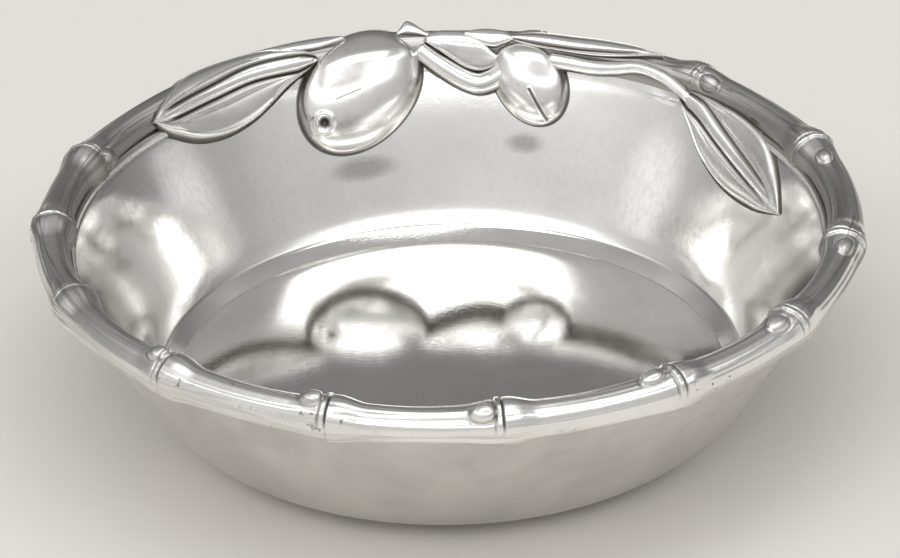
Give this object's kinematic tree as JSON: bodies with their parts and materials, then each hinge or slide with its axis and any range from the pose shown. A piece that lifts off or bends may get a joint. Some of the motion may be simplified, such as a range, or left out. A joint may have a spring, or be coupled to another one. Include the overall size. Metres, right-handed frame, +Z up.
{
  "type": "serving bowl",
  "caption": "Round polished aluminium serving bowl with a rim of bamboo canes and an olive sprig in relief on one side, for fruit, bread or salad.",
  "frame": {"origin": "middle of the foot ring, on the table", "axes": "+Z up out of the bowl, +Y towards the olive sprig, +X to the right of someone facing it"},
  "size_m": [0.2324, 0.2316, 0.0639],
  "materials": {
    "shell": "mirror polished inside, satin outside and under the foot",
    "cane": "polished, with dark patina in the joint grooves and a few cast pits",
    "sprig": "polished relief, with dark patina in its outlines"
  },
  "bodies": {
    "root": {"bowl_shell": "shell", "rim_cane_01": "cane", "rim_cane_02": "cane", "rim_cane_03": "cane", "rim_cane_04": "cane", "rim_cane_05": "cane", "rim_cane_06": "cane", "rim_cane_07": "cane", "rim_cane_08": "cane", "rim_cane_09": "cane", "rim_cane_10": "cane", "rim_cane_11": "cane", "rim_cane_12": "cane", "rim_cane_13": "cane", "rim_cane_14": "cane", "olive_large": "sprig", "olive_small": "sprig", "leaf_left": "sprig", "leaf_left_back": "sprig", "leaf_crest": "sprig", "leaf_middle": "sprig", "leaf_curl": "sprig", "leaf_top": "sprig", "leaf_right": "sprig", "stem_middle": "sprig", "stem_right": "sprig"}
  },
  "joints": []
}
